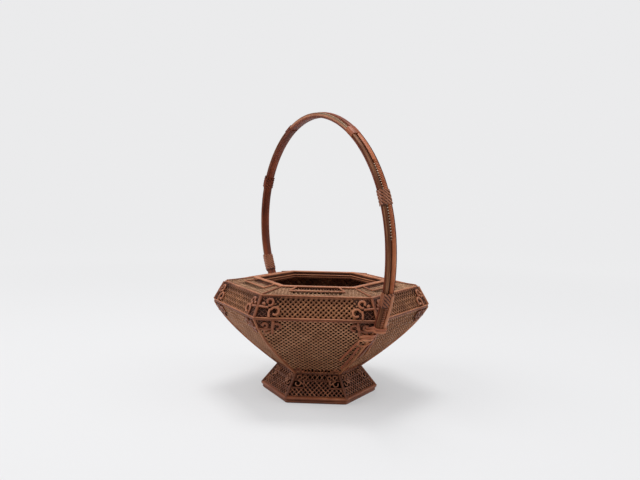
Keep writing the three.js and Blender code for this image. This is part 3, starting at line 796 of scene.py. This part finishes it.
# Thin lath across each side of the foot, with a framed opening and curls at each end.
# A curl is its side of the lath, reach in from the corner and radius.
footFret = {
    "lath": 1.5, "depth": 1.4, "chamfer": 0.35, "level": 0.2, "margin": 1.5, "borderTint": 0.2,
    "curlGap": 0.8, "curlLift": 0.3, "curlTints": (0.6, 1.1), "curlSweep": -300, "tighten": 0.35,
    "curls": ((-1, 5.2, 3.8), (-1, 11.6, 2.4), (1, 6.5, 3.2), (1, 14, 2.6))}
for number, plane in enumerate(sidesOf(footLine), 1):
    bar = plane.length - footWeave["fret"]
    sill = bar - footWeave["windowDrop"]
    half, sillHalf = plane.halfAt(bar) - footFret["margin"], plane.halfAt(sill) - footFret["margin"]
    edge = plane.halfAt(bar) - footWeave["windowReach"]
    level = footFret["level"]
    section = lathSection(footFret["lath"], footFret["depth"], footFret["chamfer"])
    bm = startMesh()
    sweepStrip(bm, edgeFrames(plane, [(-half, bar), (half, bar)], level), section, 0)
    for end in (-1, 1):
        for up, reach, radius in footFret["curls"]:
            middle = (end * (half - reach), bar + up * (radius + footFret["curlGap"]))
            ring = curl(middle, radius, -90 * up, footFret["curlSweep"] * end * up, footFret["tighten"])
            frames = edgeFrames(plane, ring, level + footFret["curlLift"])
            sweepStrip(bm, frames, section, chance.uniform(*footFret["curlTints"]))
        border = [(end * edge, bar), (end * edge, sill), (end * sillHalf, sill)]
        for path in (border[:2], border[1:]):
            sweepStrip(bm, edgeFrames(plane, path, level), section, footFret["borderTint"])
    finishPiece(bm, f"foot_fret_{number}", "darkLath")

# Deck: laths over the mitres, a low frame on each side, ticks in its slot and loops before it
deckMitre = {"spread": 0.5, "width": 1.0, "depth": 1.4, "level": 1.75, "from": 1.5, "to": 0.4}
deckTicks = {
    "width": 1.0, "depth": 0.4, "chamfer": 0.12, "pitch": 3.5, "level": 0.0, "margin": 2, "end": 0.6,
    "tints": (-0.2, 0.8)}
deckLoops = dict(deckTicks, width=1.4, pitch=5.2, level=-0.2)
deckLath = {"chamfer": 0.5, "joint": 0.2, "end": 0.3, "tints": (0.2, 0.6)}
for corner in range(6):
    bm = startMesh()
    cornerLath(bm, deckLine, corner, deckMitre)
    finishPiece(bm, f"deck_corner_{corner + 1}", "redLath", [f"deck_mitre_{corner + 1}"])
for number, plane in enumerate(sidesOf(deckLine), 1):
    bar = plane.length * deckFrame["place"]
    half = deckFrame["width"] / 2
    reach = plane.halfAt(bar) - deckFrame["margin"]
    level = deckFrame["seat"] + deckFrame["height"] / 2
    section = lathSection(deckFrame["width"], deckFrame["height"], deckLath["chamfer"])
    bm = startMesh()
    paths = [[(-reach, bar), (reach, bar)]]
    for end in (-1, 1):
        paths.append([(end * (reach - half), bar + half + deckLath["joint"]),
                      (end * (reach - half - deckFrame["splay"]), plane.length - deckLath["end"])])
    for path in paths:
        sweepStrip(bm, edgeFrames(plane, path, level), section, chance.uniform(*deckLath["tints"]))
    finishPiece(bm, f"deck_lattice_{number}", "redLath", [f"deck_frame_{number}"])

    inner, slot = reach - deckTicks["margin"], plane.length - deckWeave["mouthSlot"]
    bm = startMesh()
    addPosts(bm, plane, inner - deckFrame["splay"], slot, plane.length - deckTicks["end"], deckTicks)
    finishPiece(bm, f"deck_ticks_{number}", "darkLath")
    bm = startMesh()
    addPosts(bm, plane, inner, bar - deckWeave["barSlot"], bar - seam["bar"], deckLoops)
    finishPiece(bm, f"deck_loops_{number}", "deckStraw")
print("deck made")

# Handle: close to half an ellipse, on two legs that draw in to the waist
handle = {
    "frontSpan": 179, "backSpan": 190, "topPlace": -1.6, "crown": 0.53, "rise": 163.5, "legRise": 92.5,
    "footLean": 24, "footPull": 22, "topPull": 54, "lean": 3, "width": 12, "lath": 2.6, "chamfer": 0.7,
    "tail": 9, "seat": 4.9, "steps": 24}


def archPoints():
    lean = math.radians(handle["footLean"])
    rise = Vector((math.sin(lean), 0, math.cos(lean)))
    footPoint = Vector((waist.x + handle["seat"] * rise.z, 0, -handle["seat"] * rise.x))
    crown = handle["crown"] * (handle["frontSpan"] + handle["backSpan"]) / 2
    roundness = 4 / 3 * (math.sqrt(2) - 1)  # quarter ellipse as one curve

    def leg(side, span):
        wide = Vector((span, 0, handle["legRise"]))
        top = Vector((side * handle["topPlace"], 0, handle["legRise"] + handle["rise"]))
        low = interpolate_bezier(
            footPoint, footPoint + handle["footPull"] * rise, wide - Vector((0, 0, handle["topPull"])), wide,
            handle["steps"])
        bow = interpolate_bezier(
            wide, wide + Vector((0, 0, roundness * handle["rise"])), top + Vector((crown, 0, 0)), top,
            handle["steps"])
        points = [footPoint - handle["tail"] * rise] + low + bow[1:]
        return [Vector((side * point.x, 0, point.z)) for point in points]

    return leg(1, handle["frontSpan"]) + leg(-1, handle["backSpan"])[-2::-1]


arch = Track(archPoints())
crownPlace = arch.length / 2
leaning = Matrix.Rotation(math.radians(handle["lean"]), 4, "X")
handlePlace = Matrix.Rotation(frontCorner * sixth, 4, "Z") @ Matrix.Translation((0, 0, waist.z)) @ leaning


# Point and directions on the arch, by distance from the front end
def archFrame(distance):
    point, ahead = arch.at(distance)
    turn = handlePlace.to_3x3()
    return handlePlace @ point, turn @ Vector((0, -1, 0)), turn @ Vector((ahead.z, 0, -ahead.x))


def archFrames(start, end, steps):
    return [archFrame(start + (end - start) * i / steps) for i in range(steps + 1)]


# Sections on the handle are width, height, chamfer or number of sides, x and y
rods = {
    "inset": 1.5, "steps": 96, "left": (4.7, 4.0, 1.3, 3.6, 2.2), "right": (5.6, 4.5, 12, -3.1, 2.45),
    "rightTint": 0.1, "fillet": (0.8, 1.2, 6), "filletLevel": 1.6, "filletPlaces": (-0.1, 0.65, 1.4),
    "filletTints": (-0.2, -0.6, 0.1)}
section = lathSection(handle["width"], handle["lath"], handle["chamfer"], 0, -handle["lath"] / 2)
frames = archFrames(0, arch.length, rods["steps"])
sweepPiece("handle_back", "handleBrown", frames, section, 0, ["handle_lath"])
frames = archFrames(rods["inset"], arch.length - rods["inset"], rods["steps"])
sweepPiece("handle_cane_left", "handleGrey", frames, lathSection(*rods["left"]), 0, ["handle_rod_left"])
section = roundSection(*rods["right"])
sweepPiece("handle_cane_right", "handleAmber", frames, section, rods["rightTint"], ["handle_rod_right"])
bm = startMesh()
for x, tint in zip(rods["filletPlaces"], rods["filletTints"]):
    sweepStrip(bm, frames, roundSection(*rods["fillet"], x, rods["filletLevel"]), tint)
finishPiece(bm, "handle_fillets", "inlayGrey", ["handle_inlay"])
print("handle bent, length", round(arch.length), "mm")

# What each leg carries, by distance from the arch's middle or, at the foot, from the waist
legs = {
    "front": {
        "side": -1, "sleeve": 113, "finish": "handleAmber", "wrap": 217, "wrapFinish": "redLath",
        "foot": 37.6, "footTurns": 5},
    "back": {
        "side": 1, "sleeve": 72, "finish": "handleBrown", "wrap": 192.5, "wrapFinish": "handleBrown",
        "foot": 47, "footTurns": 7}}

# Smooth collars near the top
sleeve = {"length": 16, "section": (13.6, 9.0, 2.4, 0, 1.05), "tint": -0.7, "steps": 6}
for end, leg in legs.items():
    middle = crownPlace + leg["side"] * leg["sleeve"]
    frames = archFrames(middle - sleeve["length"] / 2, middle + sleeve["length"] / 2, sleeve["steps"])
    section = lathSection(*sleeve["section"])
    sweepPiece(f"handle_sleeve_{end}", leg["finish"], frames, section, sleeve["tint"],
               [f"handle_collar_{end}"])


# Cane strip wound round part of the handle as one unbroken strip, its chamfer a share of its thickness
caneChamfer = 0.3


def windCane(bm, start, turns, look, phase=0.0, hand=1):
    perTurn = look["perTurn"]
    points, outs = [], []
    for i in range(math.floor(turns * perTurn) + 1):
        turn = phase + hand * 2 * math.pi * i / perTurn
        square = look["square"]  # 2 winds an oval, more winds a box with round corners
        share = (abs(math.cos(turn)) ** square + abs(math.sin(turn)) ** square) ** (-1 / square)
        x = look["x"] + look["halfWidth"] * share * math.cos(turn)
        y = look["y"] + look["halfHeight"] * share * math.sin(turn)
        spot, sideways, outwards = archFrame(start + look["pitch"] * i / perTurn)
        points.append(spot + x * sideways + y * outwards)
        outs.append((math.cos(turn) * sideways + math.sin(turn) * outwards).normalized())
    section = lathSection(look["width"], look["thickness"], caneChamfer * look["thickness"])
    sweepStrip(bm, strapFrames(points, outs), section, look["tint"])


def windPiece(name, finish, start, length, look):
    bm = startMesh()
    windCane(bm, start, length / look["pitch"], look)
    finishPiece(bm, name, finish)


binding = {
    "pitch": 3.6, "turns": 5, "width": 3.1, "thickness": 0.9, "halfWidth": 6.7, "halfHeight": 4.4,
    "x": 0, "y": 1.05, "square": 6, "perTurn": 24, "tint": -0.9}
braid = {
    "strands": 10, "pitch": 44, "width": 2.0, "thickness": 0.8, "halfWidth": 6.95, "halfHeight": 4.65,
    "x": 0, "y": 1.05, "square": 6, "perTurn": 48, "tint": 0.3}


# A plain winding with slanting strands over it
def bandPiece(name, finish, middle, turns, replaced):
    bm = startMesh()
    start = middle - turns * binding["pitch"] / 2
    windCane(bm, start, turns, binding)
    for strand in range(braid["strands"]):
        phase = 2 * math.pi * strand / braid["strands"]
        windCane(bm, start, turns * binding["pitch"] / braid["pitch"], braid, phase, -1)
    finishPiece(bm, name, finish, [replaced])


for end, leg in legs.items():
    middle = crownPlace + leg["side"] * leg["wrap"]
    bandPiece(f"handle_wrap_{end}", leg["wrapFinish"], middle, binding["turns"], f"handle_binding_{end}")
    fromEnd = handle["tail"] + leg["foot"]
    middle = fromEnd if leg["side"] < 0 else arch.length - fromEnd
    bandPiece(f"foot_wrap_{end}", "redLath", middle, leg["footTurns"], f"foot_binding_{end}")

# Fine whipping over the amber strip, pale stitches in the groove and a smooth strip above them
whipping = {
    "from": 168, "to": 266, "pitch": 2.2, "width": 1.3, "thickness": 0.5, "halfWidth": 2.5,
    "halfHeight": 2.4, "x": -2.7, "y": 2.5, "square": 2, "perTurn": 12, "tint": 0.25}
stitch = {"pitch": 3.3, "length": 1.5, "section": (1.2, 1.0, 6), "x": 0.35, "y": 3.2, "tints": (0.3, 1.1)}
cover = {"section": (5.2, 2.0, 12, -2.2, 4.0), "tint": 0.3, "steps": 20}
for end, leg in legs.items():
    low, high = sorted(crownPlace + leg["side"] * whipping[name] for name in ("from", "to"))
    windPiece(f"handle_whipping_{end}", "handleAmber", low, high - low, whipping)
    bm = startMesh()
    section = roundSection(*stitch["section"])
    for i in range(math.floor((high - low) / stitch["pitch"])):
        spot, sideways, outwards = archFrame(low + i * stitch["pitch"])
        ends = [spot + (stitch["x"] + x * stitch["length"] / 2) * sideways + stitch["y"] * outwards
                for x in (-1, 1)]
        sweepStrip(bm, strapFrames(ends, [outwards] * 2), section, chance.uniform(*stitch["tints"]))
    finishPiece(bm, f"handle_stitches_{end}", "paleCane")
    places = (leg["sleeve"] + sleeve["length"] / 2, whipping["from"])
    smooth = sorted(crownPlace + leg["side"] * place for place in places)
    frames, section = archFrames(*smooth, cover["steps"]), roundSection(*cover["section"])
    sweepPiece(f"handle_cover_{end}", "handleAmber", frames, section, cover["tint"])

# Thin lines and a red lip on the flank of the grey cane, from the front collar over the top,
# and a dark strip over the amber cane between the collars
flank = {
    "from": -105, "to": -30, "far": 64, "levels": (2.7, 3.5, 4.2), "line": (0.7, 0.8, 6, 5.8),
    "lineTints": (-0.2, -1.1, -0.2), "lip": (0.8, 2.6, 8, 5.8, 1.1), "lipTint": 0.5,
    "cover": (5.6, 2.0, 12, -2.8, 4.0), "coverTint": 0.4, "lineSteps": 24, "steps": 40}
frames = archFrames(crownPlace + flank["from"], crownPlace + flank["to"], flank["lineSteps"])
bm = startMesh()
for level, tint in zip(flank["levels"], flank["lineTints"]):
    sweepStrip(bm, frames, roundSection(*flank["line"], level), tint)
finishPiece(bm, "handle_lines", "paleCane")
frames = archFrames(crownPlace + flank["from"], crownPlace + flank["far"], flank["steps"])
sweepPiece("handle_lip", "redLath", frames, roundSection(*flank["lip"]), flank["lipTint"])
sweepPiece("handle_cover_top", "handleBrown", frames, roundSection(*flank["cover"]), flank["coverTint"])

# Dark strip along the other flank, painted shade on the amber cane's side away from the light
shadeEdge = {"section": (1.8, 3.8, 8, -5.9, 2.2), "tint": -0.9}
frames = archFrames(handle["tail"], arch.length - handle["tail"], rods["steps"])
sweepPiece("handle_shade_edge", "handleBrown", frames, roundSection(*shadeEdge["section"]), shadeEdge["tint"])

# Pale rail lashed over the amber strip at the foot of each leg
footRail = {"reach": (1, 52), "section": (4.0, 1.3, 0.4, -4.2, 6.2), "tint": 0.7, "steps": 12}
for end, leg in legs.items():
    reach = footRail["reach"]
    if leg["side"] > 0:
        reach = [arch.length - place for place in reach[::-1]]
    frames, section = archFrames(*reach, footRail["steps"]), lathSection(*footRail["section"])
    sweepPiece(f"foot_rail_{end}", "redLath", frames, section, footRail["tint"])

# Twisted strip in the groove at the foot of each leg
twist = {
    "length": 44, "from": 2.0, "pitch": 3.2, "width": 1.7, "thickness": 0.9, "halfWidth": 1.5,
    "halfHeight": 1.1, "x": 0.3, "y": 4.2, "square": 2, "perTurn": 10, "tint": 0.2}
for end, start in (("front", twist["from"]), ("back", arch.length - twist["length"] - twist["from"])):
    windPiece(f"handle_twist_{end}", "redLath", start, twist["length"], twist)
print("bindings wound")


# A spot beside a corner of the lower body: reach in from the corner, height up the side
def besideCorner(corner, side, reach, height, lift):
    plane = sideOf(bodyLine, corner - 1 if side < 0 else corner)
    edge = plane.halfAt(height)
    return plane.at(-side * (edge - reach), height, lift), plane.outAt(height)


# A strap through spots of (point, outward direction)
def layStrap(bm, spots, width, thickness, tint):
    points, outs = zip(*spots)
    sweepStrip(bm, strapFrames(points, outs), lathSection(width, thickness, knot["chamfer"]), tint)


# Knot at the foot of each leg: straps across the corner and loose ends down both sides.
# Each spot is side, reach in from the corner, height up the side, lift off it.
knot = {"thickness": 1.2, "chamfer": 0.3}
straps = [
    {"width": 4.6, "tint": 0.3, "spots": [
        (-1, 14, 95, 1.8), (-1, 8, 98, 3.0), (-1, 1, 99, 4.2), (1, 1, 99, 4.2), (1, 6, 98, 3.0),
        (1, 10, 96, 1.8)]},
    {"width": 3.4, "tint": 0.7, "spots": [
        (-1, 12, 88, 1.8), (-1, 6, 91, 3.0), (-1, 1, 92, 4.0), (1, 1, 92, 4.0), (1, 6, 90, 2.6)]},
    {"width": 2.6, "tint": 0.1, "spots": [
        (1, 3, 95, 3.6), (-1, 1, 97, 4.6), (-1, 8, 94, 3.6), (-1, 12, 89, 3.0), (-1, 11, 83, 2.8),
        (-1, 6, 79, 3.0), (-1, 1, 81, 4.2), (1, 3, 85, 3.2)]},
    {"width": 3.4, "tint": -0.1, "spots": [(-1, 12, 86, 2.4), (-1, 14, 74, 2.0), (-1, 17, 43, 1.9)]},
    {"width": 6.5, "tint": -0.9, "spots": [(1, 8, 88, 2.4), (1, 10, 77, 2.0), (1, 7.5, 50, 1.9)]},
    {"width": 2.0, "tint": 0.6, "spots": [(1, 11, 102, 2.0), (1, 18, 76, 1.9), (1, 26, 47, 1.8)]},
]
# Straps over the end of each leg: distance from its end and tint, ends on the body as reach and
# lift, and a path round the leg's section
lashing = {
    "places": ((1.7, 0.4), (5.4, 0.0)), "width": 3.4, "drop": 12.5, "middle": 2,
    "ends": ((11, 1.9), (7.5, 3.4)), "path": [
        (7.0, 0.5), (6.7, 4.0), (5.2, 5.2), (0.5, 6.8), (-2.4, 7.7), (-6.0, 7.7), (-7.2, 6.2), (-7.6, 0.5)]}


def lashLeg(bm, corner, side, distance, tint):
    spot, sideways, outwards = archFrame(distance if side < 0 else arch.length - distance)
    height = sideOf(bodyLine, corner).length - lashing["drop"] + distance
    start, stop = (
        [besideCorner(corner, end, reach, height, lift) for reach, lift in lashing["ends"]]
        for end in (side, -side))
    over = [(spot + x * sideways + y * outwards,
             (x * sideways + (y - lashing["middle"]) * outwards).normalized()) for x, y in lashing["path"]]
    layStrap(bm, start + over + stop[::-1], lashing["width"], knot["thickness"], tint)


plaitEnd = {
    "from": (7.0, 76), "to": (6.2, 22), "lift": 2.4, "radius": 1.3, "flatness": 0.6, "pitch": 4.0,
    "perTurn": 8, "width": 1.8, "thickness": 0.8, "tints": (-0.4, -0.1)}
for end, corner in (("front", frontCorner), ("back", backCorner)):
    bm = startMesh()
    for strap in straps:
        spots = [besideCorner(corner, *spot) for spot in strap["spots"]]
        layStrap(bm, spots, strap["width"], knot["thickness"], strap["tint"])
    for distance, tint in lashing["places"]:
        lashLeg(bm, corner, legs[end]["side"], distance, tint)
    start, stop = Vector(plaitEnd["from"]), Vector(plaitEnd["to"])
    steps = (stop - start).length / plaitEnd["pitch"] * plaitEnd["perTurn"]
    for strand, tint in enumerate(plaitEnd["tints"]):
        spots = []
        for i in range(math.floor(steps) + 1):
            turn = 2 * math.pi * i / plaitEnd["perTurn"] + math.pi * strand
            reach, height = start.lerp(stop, i / steps)
            reach += plaitEnd["radius"] * math.cos(turn)
            lift = plaitEnd["lift"] + plaitEnd["radius"] * plaitEnd["flatness"] * math.sin(turn)
            spots.append(besideCorner(corner, -1, reach, height, lift))
        layStrap(bm, spots, plaitEnd["width"], plaitEnd["thickness"], tint)
    finishPiece(bm, f"corner_tie_{end}", "bindingCane", [f"corner_knot_{end}"])
print("knots tied")

# Woven floor of the basket over a dark sheet of painted shade, seen only from above
floorLow, floorHigh = boxOf("floor_panel")
floorWeave = {"pitch": 5.0, "strip": 4.2, "lift": 0.4, "thickness": 0.5}
floorSheet = {"rise": 0.3, "lap": 1.2, "thickness": 0.4}
bm = startMesh()
count = math.ceil(floorHigh.x / floorWeave["pitch"])
for direction in (0, 1):
    for k in range(-count, count + 1):
        def place(i, j):
            m = i / 2 - count
            wave = (1 if direction else -1) * floorWeave["lift"] * math.cos(math.pi * (m + k))
            spot = (m * floorWeave["pitch"], k * floorWeave["pitch"] + (j - 0.5) * floorWeave["strip"])
            x, y = spot if direction == 0 else (-spot[1], spot[0])
            return Vector((x, y, (floorLow.z + floorHigh.z) / 2 + wave))

        tint = chance.uniform(-1, 1)
        layGrid(bm, 4 * count, 1, place, 2 * count * floorWeave["pitch"], floorWeave["strip"], tint)
for side in range(6):
    turn = (side + 0.5) * sixth
    outwards = Vector((math.cos(turn), math.sin(turn), 0))
    cutMesh(bm, outwards * floorHigh.x * faceShare, outwards)
finishPiece(bm, "floor_weave", "bodyWeave", ["floor_panel"], floorWeave["thickness"], closed=False)
bm = startMesh()
under = Matrix.Translation((0, 0, floorLow.z + floorSheet["rise"])) @ Matrix.Rotation(sixth / 2, 4, "Z")
radius = floorHigh.x + floorSheet["lap"]
bmesh.ops.create_circle(bm, cap_ends=True, segments=6, radius=radius, matrix=under)
finishPiece(bm, "floor_backing", "shadeSheet", thickness=floorSheet["thickness"])
print("floor woven")


# Where a camera or lamp stands, turned to face a point
def facing(place, aim):
    return Matrix.Translation(place) @ (aim - place).to_track_quat("-Z", "Y").to_matrix().to_4x4()


# Camera at the photograph's angle; the photograph is a 640 by 480 frame
view = {
    "place": (39.0, -917.1, 277.6), "aim": (-2.3, -0.1, 209.2), "roll": 1.136,
    "lens": 37.44, "sensor": 36, "clip": 100}
data = bpy.data.cameras.new("camera")
data.lens = view["lens"]
data.sensor_width = view["sensor"]
data.clip_end = view["clip"]
camera = bpy.data.objects.new("camera", data)
roll = Matrix.Rotation(math.radians(view["roll"]), 4, "Z")
camera.matrix_world = facing(Vector(view["place"]) * mm, Vector(view["aim"]) * mm) @ roll
bpy.context.collection.objects.link(camera)
bpy.context.scene.camera = camera

# Pale floor that sweeps up into a backdrop, in metres. Away from the object it shows more of an even glow.
stage = {
    "halfWidth": 5.0, "front": -4.0, "back": 2.6, "bend": 1.6, "bendSteps": 12, "height": 5.0,
    "colour": (214, 214, 215), "glow": (238, 238, 239), "reach": (0.08, 1.8), "power": 0.45,
    "share": (0.42, 0.95)}
turns = [math.pi / 2 * i / stage["bendSteps"] for i in range(stage["bendSteps"] + 1)]
bend = stage["bend"]
path = [(stage["back"] + bend * math.sin(turn), bend * (1 - math.cos(turn))) for turn in turns]
path = [(stage["front"], 0)] + path + [(stage["back"] + bend, stage["height"])]
steps = len(path) - 1
bm = bmesh.new()
for vert in bmesh.ops.create_grid(bm, x_segments=1, y_segments=steps, size=1)["verts"]:
    vert.co = (vert.co.x * stage["halfWidth"], *path[round((vert.co.y + 1) / 2 * steps)])
mesh = bpy.data.meshes.new("stage")
bm.to_mesh(mesh)
bm.free()
mesh.shade_smooth()

material = bpy.data.materials.new("stagePaper")
material.use_nodes = True
tree = material.node_tree
paper = tree.nodes["Principled BSDF"]
feed(tree, paper, {"Base Color": paint(*stage["colour"]), "Roughness": 1.0, "Specular IOR Level": 0.0})
glow = addNode(tree, "Emission", {"Color": paint(*stage["glow"])})
spot = addNode(tree, "TexCoord").outputs["Object"]
reach = addNode(tree, "VectorMath", {0: spot}, operation="LENGTH").outputs["Value"]
distance = mathNode(tree, "POWER", mapRange(tree, reach, stage["reach"], (0, 1)), stage["power"])
seen = addNode(tree, "LightPath").outputs["Is Camera Ray"]
share = mathNode(tree, "MULTIPLY", seen, mapRange(tree, distance, (0, 1), stage["share"]))
shades = {"Fac": share, 1: paper.outputs["BSDF"], 2: glow.outputs["Emission"]}
blend = addNode(tree, "MixShader", shades)
feed(tree, tree.nodes["Material Output"], {"Surface": blend.outputs["Shader"]})
mesh.materials.append(material)
floor = bpy.data.objects.new("stage", mesh)
bpy.context.collection.objects.link(floor)

# Soft light from the left and above, and an even sky
lamps = {
    "left": {"place": (-1.6, -0.4, 1.4), "size": 1.3, "power": 20},
    "right": {"place": (1.8, -0.3, 1.0), "size": 1.3, "power": 10},
    "top": {"place": (-0.1, 0.2, 1.9), "size": 0.7, "power": 20},
}
lampAim = Vector((0, 0, 0.15))
sky = {"colour": (236, 237, 239), "strength": 0.6, "seenStrength": 1.0}
for name, lamp in lamps.items():
    data = bpy.data.lights.new(name, "AREA")
    data.size = lamp["size"]
    data.energy = lamp["power"]
    light = bpy.data.objects.new(name, data)
    light.matrix_world = facing(Vector(lamp["place"]), lampAim)
    bpy.context.collection.objects.link(light)
world = bpy.data.worlds.new("sky")
world.use_nodes = True
bpy.context.scene.world = world
tree = world.node_tree
ray = addNode(tree, "LightPath").outputs
seen = mathNode(tree, "MAXIMUM", ray["Is Camera Ray"], ray["Is Glossy Ray"])
strength = mapRange(tree, seen, (0, 1), (sky["strength"], sky["seenStrength"]))
feed(tree, tree.nodes["Background"], {"Color": paint(*sky["colour"]), "Strength": strength})
bpy.context.scene.view_settings.view_transform = "Standard"
print("camera, stage and lights set")
